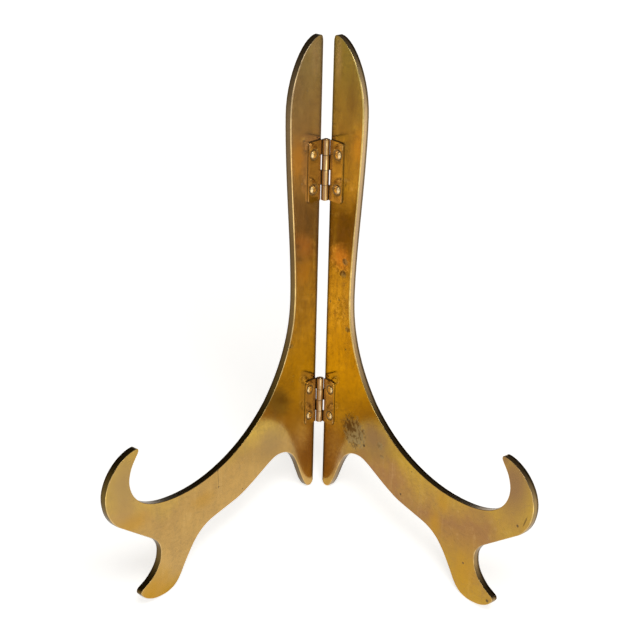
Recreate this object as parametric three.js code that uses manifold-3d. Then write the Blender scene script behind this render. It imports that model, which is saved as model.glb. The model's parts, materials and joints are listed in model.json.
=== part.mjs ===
// A folding plate display stand: two flat brass leaves, each with a stem, a tail, a foot and a
// hook for the plate's rim, joined along their straight edges by two small riveted butt hinges.
//
// Each leaf and what is fixed to it is drawn in the leaf's own frame: X runs out from the pin axis
// in the plane of the leaf, Y runs from the front face to the back, and Z runs up the pin axis.
// The left side is drawn as a right side and mirrored. Then both turn forward about the pin axis,
// and the whole stand leans back until tails and feet rest on the ground together.

import * as THREE from "three";
import { mergeVertices } from "three/addons/utils/BufferGeometryUtils.js";
import ManifoldModule from "manifold-3d";

const wasm = await ManifoldModule();
wasm.setup();
const { Manifold, Mesh: SolidMesh } = wasm;

// Leaves, in millimetres and degrees
const LEAF_TURN = THREE.MathUtils.degToRad(48.6); // of each leaf, forward from lying flat
const LEAF_THICKNESS = 3.0;
const FRONT_FACE = 1.6; // behind the pin axis
const BACK_FACE = FRONT_FACE + LEAF_THICKNESS;
const INNER_EDGE = 0.9; // beside the pin axis
const EDGE_ROUND = 0.45;
const CURVE_STEPS = 8;

// Hinges. Heights are from the bottom of the tails
const PLATE_GAP = 0.02; // between pieces that lie on each other
const PIN_CLEARANCE = 0.03;
const KNUCKLES = 4;
const KNUCKLE_GAP = 0.14;
const UPPER_HINGE = {
  name: "upper_hinge",
  centre: 141.1,
  length: 25.0,
  reach: 8.9,
  barrel: 1.58,
  sheet: 0.8,
  corner: 1.5,
  rivet: { out: 5.9, up: 7.2, head: 1.85, height: 0.9, shank: 1.1, dish: 2.6, depth: 0.4 },
};
const LOWER_HINGE = {
  name: "lower_hinge",
  centre: 40.25,
  length: 19.8,
  reach: 7.6,
  barrel: 1.48,
  sheet: 0.7,
  corner: 1.8,
  rivet: { out: 5.1, up: 5.95, head: 1.6, height: 0.8, shank: 0.95, dish: 2.2, depth: 0.35 },
};
const TAIL_FLARE = 0.45; // how far a rivet's tail spreads in its countersink
const ROUND_STEPS = 32;

const leafBrass = new THREE.MeshStandardMaterial({ color: 0xb08a3c, metalness: 1, roughness: 0.3 });
const hingeBrass = new THREE.MeshStandardMaterial({ color: 0xa87445, metalness: 1, roughness: 0.4 });
const rivetBrass = new THREE.MeshStandardMaterial({ color: 0xc29a4e, metalness: 1, roughness: 0.3 });

// Solids

function solidOf(geometry) {
  const bare = new THREE.BufferGeometry();
  bare.setAttribute("position", geometry.getAttribute("position"));
  bare.setIndex(geometry.index);
  const merged = mergeVertices(bare, 1e-4);
  const corners = [];
  for (let i = 0; i < merged.index.count; i += 3) {
    const [a, b, c] = merged.index.array.slice(i, i + 3);
    if (a !== b && b !== c && c !== a) corners.push(a, b, c);
  }
  return new Manifold(
    new SolidMesh({
      numProp: 3,
      vertProperties: merged.getAttribute("position").array,
      triVerts: new Uint32Array(corners),
    }),
  );
}

function geometryOf(solid) {
  const { vertProperties, triVerts } = solid.getMesh();
  const geometry = new THREE.BufferGeometry();
  geometry.setAttribute("position", new THREE.BufferAttribute(vertProperties, 3));
  geometry.setIndex(new THREE.BufferAttribute(triVerts, 1));
  geometry.computeVertexNormals();
  return geometry;
}

// A sheet cut to an outline drawn as X across and Z up, from its front face to its back face
function sheet(outline, front, back, round = 0) {
  const geometry = new THREE.ExtrudeGeometry(outline, {
    depth: back - front - 2 * round,
    curveSegments: CURVE_STEPS,
    bevelEnabled: round > 0,
    bevelThickness: round,
    bevelSize: round,
    bevelOffset: -round,
    bevelSegments: 3,
  });
  return solidOf(geometry.rotateX(Math.PI / 2).translate(0, back - round, 0));
}

// A round bar along Z from one height to another, about the pin axis
function bar(radius, low, high) {
  const geometry = new THREE.CylinderGeometry(radius, radius, high - low, ROUND_STEPS);
  return solidOf(geometry.rotateX(Math.PI / 2).translate(0, 0, (low + high) / 2));
}

// A turned piece about a line along Y: pairs of radius and Y, from front to back
function turned(profile, x, z) {
  const points = profile.map(([radius, y]) => new THREE.Vector2(radius, y));
  return solidOf(new THREE.LatheGeometry(points, ROUND_STEPS).translate(x, 0, z));
}

// The leaf's outline, from the foot of its straight edge up, over the tip and back down the outside
function leafOutline() {
  const s = new THREE.Shape();
  s.moveTo(INNER_EDGE, 3.0);
  s.lineTo(INNER_EDGE, 192.0);
  s.bezierCurveTo(INNER_EDGE, 194.4, 1.5, 195.6, 2.8, 195.6); // tip
  s.bezierCurveTo(9.2, 195.4, 19.6, 183.0, 19.6, 166.0); // shoulder
  s.bezierCurveTo(19.6, 145.0, 15.0, 110.0, 15.0, 91.0); // stem
  s.bezierCurveTo(15.0, 76.0, 18.5, 62.5, 30.0, 47.8);
  s.bezierCurveTo(41.5, 34.6, 60.0, 25.1, 80.0, 25.1); // top of the arm
  s.bezierCurveTo(89.0, 25.1, 96.0, 26.5, 101.0, 30.2);
  s.bezierCurveTo(104.2, 32.6, 106.5, 36.3, 106.5, 40.5); // inside of the hook
  s.bezierCurveTo(106.5, 44.5, 104.2, 48.0, 102.1, 50.8);
  s.bezierCurveTo(101.2, 52.2, 101.5, 53.4, 103.2, 53.4); // tip of the hook
  s.bezierCurveTo(110.5, 52.9, 119.1, 45.5, 119.1, 36.8); // back of the hook
  s.bezierCurveTo(119.1, 31.0, 116.3, 26.0, 112.0, 23.0);
  s.lineTo(95.8, 11.9);
  s.bezierCurveTo(93.2, 10.1, 91.0, 7.6, 91.0, 4.0); // outside of the foot
  s.bezierCurveTo(91.0, -1.0, 93.5, -4.2, 97.5, -7.0);
  s.lineTo(100.6, -8.6);
  s.bezierCurveTo(102.2, -9.4, 102.2, -10.6, 101.2, -11.6); // toe
  s.bezierCurveTo(99.4, -14.0, 96.0, -15.9, 91.0, -15.9); // sole
  s.bezierCurveTo(87.5, -15.9, 85.0, -15.1, 83.3, -14.0);
  s.bezierCurveTo(81.9, -13.0, 80.6, -11.2, 79.5, -9.3); // heel
  s.bezierCurveTo(76.3, -4.3, 72.3, 3.2, 66.5, 6.1); // inside of the foot
  s.bezierCurveTo(62.3, 8.4, 56.0, 8.9, 50.0, 10.6); // underside of the arm
  s.bezierCurveTo(39.5, 12.8, 29.0, 22.0, 23.2, 22.0); // arch
  s.bezierCurveTo(18.7, 22.0, 15.8, 20.1, 14.0, 17.7);
  s.bezierCurveTo(12.0, 15.0, 10.6, 11.0, 9.0, 7.3); // tail
  s.bezierCurveTo(7.8, 4.5, 6.2, 1.4, 4.6, 0.4);
  s.bezierCurveTo(2.8, -0.5, INNER_EDGE, 0.4, INNER_EDGE, 3.0);
  return s;
}

function rivetHeights({ centre, rivet }) {
  return { top: centre + rivet.up, bottom: centre - rivet.up };
}

function leafSolid() {
  let leaf = sheet(leafOutline(), FRONT_FACE, BACK_FACE, EDGE_ROUND);
  for (const hinge of [UPPER_HINGE, LOWER_HINGE]) {
    const radius = hinge.rivet.shank + PIN_CLEARANCE;
    const hole = [
      [0, FRONT_FACE - 1],
      [radius, FRONT_FACE - 1],
      [radius, BACK_FACE - 2 * TAIL_FLARE],
      [radius + 1.5 * TAIL_FLARE, BACK_FACE + TAIL_FLARE],
      [0, BACK_FACE + TAIL_FLARE],
    ];
    for (const z of Object.values(rivetHeights(hinge))) {
      leaf = leaf.subtract(turned(hole, hinge.rivet.out, z));
    }
  }
  return leaf;
}

function rivetSolid({ sheet: thickness, rivet }, z) {
  const seat = FRONT_FACE - PLATE_GAP - thickness + rivet.depth - PLATE_GAP;
  const profile = [];
  for (let i = 0; i <= 6; i++) {
    const angle = (Math.PI / 2) * (i / 6);
    profile.push([rivet.head * Math.sin(angle), seat - 0.15 - (rivet.height - 0.15) * Math.cos(angle)]);
  }
  profile.push([rivet.head, seat]);
  profile.push([rivet.shank, seat]);
  profile.push([rivet.shank, BACK_FACE - 2 * TAIL_FLARE]);
  profile.push([rivet.shank + TAIL_FLARE, BACK_FACE - PLATE_GAP]);
  profile.push([0, BACK_FACE - PLATE_GAP]);
  return turned(profile, rivet.out, z);
}

// One hinge plate: a flat panel on the leaf, and rolled knuckles about the pin axis
function hingePlateSolid(hinge, firstKnuckle) {
  const { centre, length, reach, barrel, sheet: thickness, corner, rivet } = hinge;
  const back = FRONT_FACE - PLATE_GAP;
  const front = back - thickness;
  const low = centre - length / 2;
  const high = centre + length / 2;
  const panelEdge = barrel + 0.45;

  const outline = new THREE.Shape();
  outline.moveTo(panelEdge, low);
  outline.lineTo(reach - corner, low);
  outline.absarc(reach - corner, low + corner, corner, -Math.PI / 2, 0);
  outline.lineTo(reach, high - corner);
  outline.absarc(reach - corner, high - corner, corner, 0, Math.PI / 2);
  outline.lineTo(panelEdge, high);
  let plate = sheet(outline, front, back);

  const web = new THREE.Shape();
  web.moveTo(0, barrel - thickness);
  web.lineTo(panelEdge - 0.6, front);
  web.lineTo(panelEdge + 0.3, front);
  web.lineTo(panelEdge + 0.3, back);
  web.lineTo(panelEdge - 0.6, back);
  web.lineTo(0, barrel);
  const pitch = length / KNUCKLES;
  for (let i = firstKnuckle; i < KNUCKLES; i += 2) {
    const top = high - i * pitch - (i === 0 ? 0 : KNUCKLE_GAP / 2);
    const bottom = high - (i + 1) * pitch + (i === KNUCKLES - 1 ? 0 : KNUCKLE_GAP / 2);
    const webGeometry = new THREE.ExtrudeGeometry(web, { depth: top - bottom, bevelEnabled: false });
    plate = plate.add(bar(barrel, bottom, top)).add(solidOf(webGeometry.translate(0, 0, bottom)));
  }
  plate = plate.subtract(bar(barrel - thickness, low - 1, high + 1));

  const dish = [
    [0, front - 1],
    [rivet.dish + rivet.dish - rivet.head, front - 1],
    [rivet.dish, front],
    [rivet.head + 0.15, front + rivet.depth],
    [rivet.shank + PIN_CLEARANCE, front + rivet.depth],
    [rivet.shank + PIN_CLEARANCE, back + 1],
    [0, back + 1],
  ];
  for (const z of Object.values(rivetHeights(hinge))) plate = plate.subtract(turned(dish, rivet.out, z));
  return plate;
}

// A pin whose two ends are peened over into low domes
function pinSolid({ centre, length, barrel, sheet: thickness }) {
  const radius = barrel - thickness - PIN_CLEARANCE;
  const head = radius + 0.3;
  const half = length / 2 + 0.05;
  const end = [
    [radius, half],
    [head, half],
    [head * 0.8, half + 0.25],
    [head * 0.4, half + 0.38],
    [0, half + 0.4],
  ];
  const points = [...end.map(([r, y]) => [r, -y]).reverse(), ...end].map(([r, y]) => new THREE.Vector2(r, y));
  const geometry = new THREE.LatheGeometry(points, ROUND_STEPS);
  return solidOf(geometry.rotateX(Math.PI / 2).translate(0, 0, centre));
}

// One side of the stand, turned forward about the pin axis

function buildSide(side) {
  const left = side === "left";
  const group = new THREE.Group();
  group.name = `${side}_side`;
  group.rotation.z = left ? LEAF_TURN : -LEAF_TURN;
  const place = (name, solid, material) => {
    const mesh = new THREE.Mesh(geometryOf(left ? solid.mirror([1, 0, 0]) : solid), material.clone());
    mesh.name = name;
    group.add(mesh);
  };

  place(`${side}_leaf`, leafSolid(), leafBrass);
  for (const hinge of [UPPER_HINGE, LOWER_HINGE]) {
    place(`${hinge.name}_${side}_plate`, hingePlateSolid(hinge, left ? 0 : 1), hingeBrass);
    for (const [end, z] of Object.entries(rivetHeights(hinge))) {
      place(`${hinge.name}_${side}_${end}_rivet`, rivetSolid(hinge, z), rivetBrass);
    }
    if (left) place(`${hinge.name}_pin`, pinSolid(hinge), hingeBrass);
  }
  return group;
}

// The lean at which the lowest point of the tails and that of the feet are level
function standingLean(outline) {
  const heights = (points, lean) =>
    points.map(
      ({ x, y }) =>
        y * Math.cos(lean) +
        (x * Math.sin(LEAF_TURN) - BACK_FACE * Math.cos(LEAF_TURN)) * Math.sin(lean),
    );
  const points = outline.getPoints(4 * CURVE_STEPS);
  const tail = points.filter(({ x, y }) => x < 20 && y < 20);
  const foot = points.filter(({ x, y }) => x > 70 && y < 0);
  let low = 0;
  let high = Math.PI / 4;
  for (let i = 0; i < 40; i++) {
    const lean = (low + high) / 2;
    if (Math.min(...heights(tail, lean)) > Math.min(...heights(foot, lean))) low = lean;
    else high = lean;
  }
  return low;
}

const pair = new THREE.Group();
pair.name = "hinged_pair";
pair.rotation.x = -standingLean(leafOutline());
pair.add(buildSide("left"), buildSide("right"));

const stand = new THREE.Group();
stand.name = "plate_display_stand";
stand.add(pair);
stand.updateMatrixWorld(true);
const extent = new THREE.Box3().setFromObject(stand, true);
pair.position.set(0, -(extent.min.y + extent.max.y) / 2, -extent.min.z);

export default stand;
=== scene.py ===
"""Looks of a folding brass plate display stand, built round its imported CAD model.

Lengths are millimetres until a mesh or a material is made, and metres after that. Each leaf and
what is fixed to it is drawn in the leaf's own frame: X out from the pin axis (minus X on the left
side), Y from the front face to the back, Z up the pin axis from the bottom of the tails.
"""

import json
import logging
import math
from dataclasses import dataclass, field
from enum import Enum
from typing import Any, Callable, Iterable, Sequence

import bmesh
import bpy
from mathutils import Matrix, Vector


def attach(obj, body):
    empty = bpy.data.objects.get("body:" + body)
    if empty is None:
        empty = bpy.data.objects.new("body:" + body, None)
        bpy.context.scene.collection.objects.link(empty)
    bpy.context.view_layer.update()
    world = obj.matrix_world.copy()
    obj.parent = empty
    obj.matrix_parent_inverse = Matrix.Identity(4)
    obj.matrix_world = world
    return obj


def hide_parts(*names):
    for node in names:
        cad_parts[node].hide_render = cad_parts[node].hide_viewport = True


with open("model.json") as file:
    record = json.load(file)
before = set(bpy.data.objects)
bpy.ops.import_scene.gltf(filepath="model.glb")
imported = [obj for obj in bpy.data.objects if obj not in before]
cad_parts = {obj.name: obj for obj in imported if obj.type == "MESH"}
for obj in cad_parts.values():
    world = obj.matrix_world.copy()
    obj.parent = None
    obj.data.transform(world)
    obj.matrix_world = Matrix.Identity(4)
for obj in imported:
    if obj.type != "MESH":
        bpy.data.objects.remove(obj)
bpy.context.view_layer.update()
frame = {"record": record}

MM = 0.001
Pair = tuple[float, float]
Tint = tuple[float, float, float]
FRONT_FADE: Pair = (1.9, 2.4)  # depths between which what lies on the front face ends
BACK_FADE: Pair = (3.9, 4.5)  # depths between which the back's own tint takes over
log = logging.getLogger("plate_stand")


class Side(Enum):
    """The two halves of the stand, with the sign of X that each lies on."""

    LEFT = -1
    RIGHT = 1

    @property
    def word(self) -> str:
        """The side's name as the CAD nodes spell it."""
        return self.name.lower()

    @property
    def body(self) -> str:
        """The CAD body that this half moves with."""
        return f"{self.word}_side"


# ---------------------------------------------------------------- places


@dataclass(frozen=True)
class Stance:
    """How the leaves stand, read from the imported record."""

    axis: Vector
    pin_foot: Vector
    turn: float

    @classmethod
    def from_record(cls, record: dict[str, Any]) -> "Stance":
        """Reads the fold joint and the right leaf's back face.

        Args:
            record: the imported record.

        Returns:
            The stance with the pin axis, the axis's point at the tails and each leaf's turn.
        """
        joint = record["behaviour"]["joints"][0]
        back = next(m for m in record["mounts"] if m["name"] == "right_back_face")
        return cls(Vector(joint["axis"]), Vector(joint["pos_m"]), math.asin(back["axis"][0]))

    def pin_matrix(self) -> Matrix:
        """The placement of a frame that stands on the pin's foot, with its Z up the pin."""
        lean = math.atan2(self.axis.y, self.axis.z)
        return Matrix.Translation(self.pin_foot) @ Matrix.Rotation(-lean, 4, "X")

    def leaf_matrix(self, side: Side) -> Matrix:
        """Gives the placement of a leaf's own frame in the stand's frame.

        Args:
            side: the half that the leaf belongs to.

        Returns:
            A rigid transform, in metres.
        """
        return self.pin_matrix() @ Matrix.Rotation(-side.value * self.turn, 4, "Z")


# ---------------------------------------------------------------- shader graph


class Wire:
    """A shader value: wraps an output socket and adds a Math node for each operator used on it."""

    def __init__(self, graph: "Graph", socket: bpy.types.NodeSocket) -> None:
        """Keeps the graph and the socket."""
        self.graph = graph
        self.socket = socket

    def _math(self, operation: str, *values: Any) -> "Wire":
        """Adds one Math node.

        Args:
            operation: Blender's name of the operation.
            values: wires or numbers, in the node's order.

        Returns:
            The node's result.
        """
        settings = {"operation": operation}
        return self.graph.add("ShaderNodeMath", settings, dict(enumerate(values)))

    def __add__(self, other: Any) -> "Wire":
        """Self plus other."""
        return self._math("ADD", self, other)

    def __sub__(self, other: Any) -> "Wire":
        """Self minus other."""
        return self._math("SUBTRACT", self, other)

    def __rsub__(self, other: Any) -> "Wire":
        """Other minus self."""
        return self._math("SUBTRACT", other, self)

    def __mul__(self, other: Any) -> "Wire":
        """Self times other."""
        return self._math("MULTIPLY", self, other)

    def __truediv__(self, other: Any) -> "Wire":
        """Self over other."""
        return self._math("DIVIDE", self, other)

    __radd__ = __add__
    __rmul__ = __mul__

    def absolute(self) -> "Wire":
        """The size of self, without its sign."""
        return self._math("ABSOLUTE", self)

    def root(self) -> "Wire":
        """The square root of self."""
        return self._math("SQRT", self)

    def most(self, other: Any) -> "Wire":
        """The larger of self and other."""
        return self._math("MAXIMUM", self, other)

    def step(self, low: float, high: float, to_low: float = 0.0, to_high: float = 1.0) -> "Wire":
        """Runs smoothly from one value to another between two limits.

        Args:
            low: the value of self at which the result is to_low.
            high: the value of self at which the result is to_high.
            to_low: the result below low.
            to_high: the result above high.

        Returns:
            The eased value.
        """
        settings = {"interpolation_type": "SMOOTHSTEP"}
        values = {0: self, 1: low, 2: high, 3: to_low, 4: to_high}
        return self.graph.add("ShaderNodeMapRange", settings, values)


class Graph:
    """One material's or world's node tree, with one method that adds any node."""

    def __init__(self, tree: bpy.types.NodeTree) -> None:
        """Empties the tree and keeps it."""
        self.tree = tree
        tree.nodes.clear()

    def node(
        self,
        kind: str,
        settings: dict[str, Any] | None = None,
        values: dict[Any, Any] | None = None,
    ) -> bpy.types.Node:
        """Adds a node, sets it up, then fills or links its inputs.

        Args:
            kind: the node's type.
            settings: the node's own properties, and a ramp's stops under "stops".
            values: constants or wires by input name or index.

        Returns:
            The new node.
        """
        made = self.tree.nodes.new(kind)
        for name, setting in (settings or {}).items():
            if name == "stops":
                self._set_stops(made.color_ramp, setting)
            else:
                setattr(made, name, setting)
        for key, value in (values or {}).items():
            socket = made.inputs[key]
            if isinstance(value, Wire):
                self.tree.links.new(value.socket, socket)
            else:
                socket.default_value = value
        return made

    def add(
        self,
        kind: str,
        settings: dict[str, Any] | None = None,
        values: dict[Any, Any] | None = None,
        output: int | str = 0,
    ) -> Wire:
        """Adds a node and gives one of its outputs.

        Args:
            kind: the node's type.
            settings: as for node().
            values: as for node().
            output: the output's index or name.

        Returns:
            The output as a wire.
        """
        return Wire(self, self.node(kind, settings, values).outputs[output])

    @staticmethod
    def _set_stops(ramp: bpy.types.ColorRamp, stops: Sequence[tuple[float, Tint]]) -> None:
        """Sets a ramp's stops.

        Args:
            ramp: the colour ramp, which starts with two stops.
            stops: positions and colours, in rising order.
        """
        while len(ramp.elements) < len(stops):
            ramp.elements.new(1.0)
        for element, (position, colour) in zip(ramp.elements, stops):
            element.position = position
            element.color = (*colour, 1.0)

    def blend(self, amount: Any, first: Any, second: Any) -> Wire:
        """Mixes two colours.

        Args:
            amount: 0 for the first, 1 for the second.
            first: a colour or a wire.
            second: a colour or a wire.

        Returns:
            The mixed colour.
        """
        values = {0: amount, 6: _rgba(first), 7: _rgba(second)}
        return self.add("ShaderNodeMix", {"data_type": "RGBA"}, values, 2)

    def mix(self, amount: Wire, first: Wire, second: Wire) -> Wire:
        """Mixes two values.

        Args:
            amount: 0 for the first, 1 for the second.
            first: a value.
            second: a value.

        Returns:
            The mixed value.
        """
        return self.add("ShaderNodeMix", {"data_type": "FLOAT"}, {0: amount, 2: first, 3: second})

    def place(self, at: Matrix) -> Wire:
        """Coordinates in a frame of the maker's choice, in millimetres.

        Args:
            at: the frame's placement in the stand's frame, a turn and a shift.

        Returns:
            The coordinates.
        """
        values = {
            "Vector": self.add("ShaderNodeTexCoord", output="Object"),
            "Location": at.to_translation(),
            "Rotation": at.to_euler(),
            "Scale": (MM, MM, MM),
        }
        return self.add("ShaderNodeMapping", {"vector_type": "TEXTURE"}, values)

    def facing(self, direction: Vector) -> Wire:
        """How squarely the surface faces along a direction, either way, before any relief.

        Args:
            direction: a unit vector in the stand's frame.

        Returns:
            0 across the direction to 1 along it.
        """
        values = {0: self.add("ShaderNodeTexCoord", output="Normal"), 1: direction}
        settings = {"operation": "DOT_PRODUCT"}
        return self.add("ShaderNodeVectorMath", settings, values, "Value").absolute()

    def crevice(self, reach: float) -> Wire:
        """A mask that is 1 deep in corners: soiling that stays there, and painted shade.

        Args:
            reach: how far off a wall the mask still rises, in millimetres.

        Returns:
            The mask.
        """
        settings, values = {"samples": 8}, {"Distance": reach * MM}
        open_share = self.add("ShaderNodeAmbientOcclusion", settings, values, "AO")
        return 1.0 - open_share

    def scaled(self, vector: Wire, by: Tint, shift: Tint = (0.0, 0.0, 0.0)) -> Wire:
        """Stretches and shifts a vector.

        Args:
            vector: the vector.
            by: the factor along each axis.
            shift: what is added afterwards.

        Returns:
            The new vector.
        """
        settings = {"operation": "MULTIPLY_ADD"}
        return self.add("ShaderNodeVectorMath", settings, {0: vector, 1: by, 2: shift})

    def parts(self, vector: Wire) -> tuple[Wire, Wire, Wire]:
        """The three components of a vector."""
        split = self.node("ShaderNodeSeparateXYZ", values={0: vector})
        return tuple(Wire(self, output) for output in split.outputs)

    def cloud(self, vector: Wire, scale: float, detail: float = 3.0, rough: float = 0.55) -> Wire:
        """Soft noise between 0 and 1.

        Args:
            vector: where to read it, in millimetres.
            scale: cycles per millimetre.
            detail: how many finer layers it has.
            rough: how strong the finer layers are.

        Returns:
            The noise value.
        """
        values = {"Vector": vector, "Scale": scale, "Detail": detail, "Roughness": rough}
        return self.add("ShaderNodeTexNoise", {}, values)

    def specks(self, vector: Wire, scale: float, size: float) -> Wire:
        """Scattered round specks, 1 inside each.

        Args:
            vector: where to read them, in millimetres.
            scale: cells per millimetre.
            size: the radius of the largest, as a share of a cell.

        Returns:
            A mask.
        """
        cells = self.node("ShaderNodeTexVoronoi", {}, {"Vector": vector, "Scale": scale})
        distance = Wire(self, cells.outputs["Distance"])
        lot = self.parts(Wire(self, cells.outputs["Color"]))[0]
        return distance.step(0.0, size, 1.0, 0.0) * lot.step(0.6, 0.95)

    def bump(self, height: Wire, strength: float, depth: float, under: Wire | None = None) -> Wire:
        """Turns a height into a normal.

        Args:
            height: the height, 0 to 1.
            strength: how much of it shows.
            depth: the height of 1, in millimetres.
            under: a normal to build on.

        Returns:
            The normal.
        """
        values: dict[Any, Any] = {"Strength": strength, "Distance": depth * MM, "Height": height}
        if under is not None:
            values["Normal"] = under
        return self.add("ShaderNodeBump", {}, values)


def _rgba(colour: Any) -> Any:
    """Adds alpha to a plain colour, and leaves a wire as it is."""
    return colour if isinstance(colour, Wire) else (*colour, 1.0)


def new_material(name: str) -> tuple[bpy.types.Material, Graph]:
    """Makes an empty node material.

    Args:
        name: the material's name.

    Returns:
        The material and its graph.
    """
    material = bpy.data.materials.new(name)
    material.use_nodes = True
    return material, Graph(material.node_tree)


# ---------------------------------------------------------------- finishes


@dataclass(frozen=True)
class Mark:
    """One mark at its place on a leaf's front face, such as a stain, pit, scratch, worn patch and
    painted glint.

    out and up are its middle, width and height its half sizes before ragged edges, and lean its
    turn in degrees.
    """

    out: float
    up: float
    width: float
    height: float
    strength: float = 1.0
    ragged: float = 0.0
    lean: float = 0.0


def mark_mask(
    graph: Graph, place: Wire, marks: Iterable[Mark], side: Side, ragged: Wire, core: float = 0.55
) -> Wire:
    """Draws marks as one mask.

    Args:
        graph: the material's graph.
        place: the piece's coordinates in millimetres.
        marks: the marks.
        side: which leaf they are on.
        ragged: noise that frays their edges.
        core: how far out a mark keeps its full strength, as a share of its size.

    Returns:
        A mask, 0 all over without marks.
    """
    total: Any = 0.0
    x, y, z = graph.parts(place)
    for mark in marks:
        turn = math.radians(mark.lean)
        across = x * side.value - mark.out
        along = z - mark.up
        u = (across * math.cos(turn) + along * math.sin(turn)) / mark.width
        w = (along * math.cos(turn) - across * math.sin(turn)) / mark.height
        reach = (u * u + w * w).root() + (ragged - 0.5) * mark.ragged
        total = reach.step(core, 1.05, mark.strength, 0.0).most(total)
    return y.step(*FRONT_FADE, 1.0, 0.0) * total


@dataclass(frozen=True)
class LeafBrass:
    """Old polished sheet brass, browned by handling, with stains where it has been wet.

    Each tint is the metal's own colour at one place up the leaf, and the marks are in the leaf's
    frame.
    """

    name: str
    side: Side
    tints: tuple[tuple[float, Tint], ...]
    tarnish: Tint = (0.33, 0.21, 0.085)
    back: Tint = (0.43, 0.275, 0.095)
    # copper flushes, and the painted golden highlight on the right stem
    flush: Tint = (0.74, 0.39, 0.10)
    low_flush: Tint = (0.46, 0.235, 0.015)
    grime: Tint = (0.075, 0.045, 0.018)
    crust: Tint = (0.31, 0.235, 0.11)
    rust: Tint = (0.14, 0.07, 0.012)
    # rim tints: the side walls' own duller colour with painted shade, darker on the lower walls and
    # nearly black on the left leaf
    rim: Tint = (0.46, 0.34, 0.19)
    low_rim: Tint = (0.20, 0.14, 0.08)
    polished: Tint = (0.80, 0.60, 0.27)
    # painted highlight on the eased front edges
    arris: Tint = (0.66, 0.48, 0.23)
    roughness: float = 0.12
    # depth at which the painted shade along the back corner begins
    soot_from: float = 3.4
    film: Pair = (0.0, 0.1)
    flushed: tuple[Mark, ...] = ()
    dulled: tuple[Mark, ...] = ()
    worn: tuple[Mark, ...] = ()
    corroded: tuple[Mark, ...] = ()
    rusted: tuple[Mark, ...] = ()
    grimy: tuple[Mark, ...] = ()
    scratches: tuple[Mark, ...] = ()
    curdled: tuple[Mark, ...] = ()
    plugs: tuple[Pair, ...] = ()
    seams: tuple[tuple[float, float, float, float], ...] = ()

    def build(self, at: Matrix) -> bpy.types.Material:
        """Makes the material.

        Args:
            at: the leaf frame's placement.

        Returns:
            The material, with its colour, roughness and relief from nodes.
        """
        material, graph = new_material(self.name)
        place = graph.place(at)
        out, depth, up = graph.parts(place)
        front = depth.step(*FRONT_FADE, 1.0, 0.0)
        flat = graph.facing(at.to_3x3() @ Vector((0, 1, 0)))
        edge = flat.step(0.25, 0.80, 1.0, 0.0)
        # painted shade along the back corner of the side walls
        back_corner_shade = depth.step(self.soot_from, self.soot_from + 0.9) * edge
        # painted highlight along the eased front edges
        edge_highlight = flat.step(0.45, 0.80) * flat.step(0.93, 0.995, 1.0, 0.0)

        broad = graph.cloud(place, 0.03, 4.0, 0.6)
        streak = graph.cloud(graph.scaled(place, (1.0, 1.0, 0.10)), 0.33, 5.0, 0.62)
        mottle = graph.cloud(place, 0.42, 5.0, 0.62)
        fine = graph.cloud(place, 1.5, 4.0, 0.65)
        grain = graph.cloud(graph.scaled(place, (1.0, 1.0, 0.05)), 3.0, 3.0, 0.6)

        wander = up + (broad - 0.5) * 50.0
        low, high = self.tints[0][0], self.tints[-1][0]
        stops = [((height - low) / (high - low), tint) for height, tint in self.tints]
        share = (wander - low) / (high - low)
        colour = graph.add("ShaderNodeValToRGB", {"stops": stops}, {0: share}, "Color")
        colour = graph.blend(depth.step(*BACK_FADE) * 0.85, colour, self.back)
        handled = up.step(40.0, 90.0, 0.5, 1.0)
        aged = broad.step(0.42, 0.70) * 0.24 + streak.step(0.44, 0.70) * handled * 0.30
        aged = aged + mottle.step(0.48, 0.70) * handled * 0.30
        tide = graph.cloud(place, 0.085, 3.0, 0.5) - 0.5
        aged = aged + tide.absolute().step(0.0, 0.012, 0.22, 0.0)
        colour = graph.blend(aged, colour, self.tarnish)
        # handling rubs the brass brighter; the marks below add wear and painted glints
        rubbed = mottle.step(0.28, 0.46, 1.0, 0.0) + streak.step(0.28, 0.44, 1.0, 0.0)
        rubbed = rubbed * handled * 0.15
        worn = mark_mask(graph, place, self.worn, self.side, mottle, 0.1)
        wisps = graph.cloud(graph.scaled(place, (1.0, 1.0, 1.8)), 0.55, 4.0, 0.6)
        rubbed = rubbed.most(worn * wisps.step(0.40, 0.58, 0.5, 1.0))
        colour = graph.blend(rubbed, colour, self.polished)
        roughness = aged * 0.16 + fine.step(0.3, 0.9) * 0.05 + self.roughness
        relief = fine * 0.35 + grain * 0.65
        curds = graph.cloud(place, 0.85, 4.0, 0.7)
        browned = curds.step(0.50, 0.64) * broad.step(0.35, 0.62, 0.35, 1.0) * handled * 0.25
        band = mark_mask(graph, place, self.curdled, self.side, mottle, 0.2)
        browned = browned.most(band * curds.step(0.47, 0.58) * 0.75)
        # painted golden highlight between the band's brown spots
        colour = graph.blend(band * curds.step(0.36, 0.47, 1.0, 0.0), colour, self.polished)
        colour = graph.blend(browned, colour, self.grime)

        flush = mark_mask(graph, place, self.flushed, self.side, mottle, 0.1)
        blush = graph.blend(up.step(60.0, 90.0), self.low_flush, self.flush)
        colour = graph.blend(flush, colour, blush)
        dull = mark_mask(graph, place, self.dulled, self.side, streak, 0.1)
        colour = graph.blend(dull, colour, self.tarnish)
        roughness = roughness + dull * 0.10
        for plug_out, plug_up in self.plugs:
            ring = self._ring(graph, out, up, plug_out, plug_up) * front
            colour = graph.blend(ring * fine.step(0.42, 0.60) * 0.7, colour, self.polished)
            relief = relief - ring * 3.0

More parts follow.
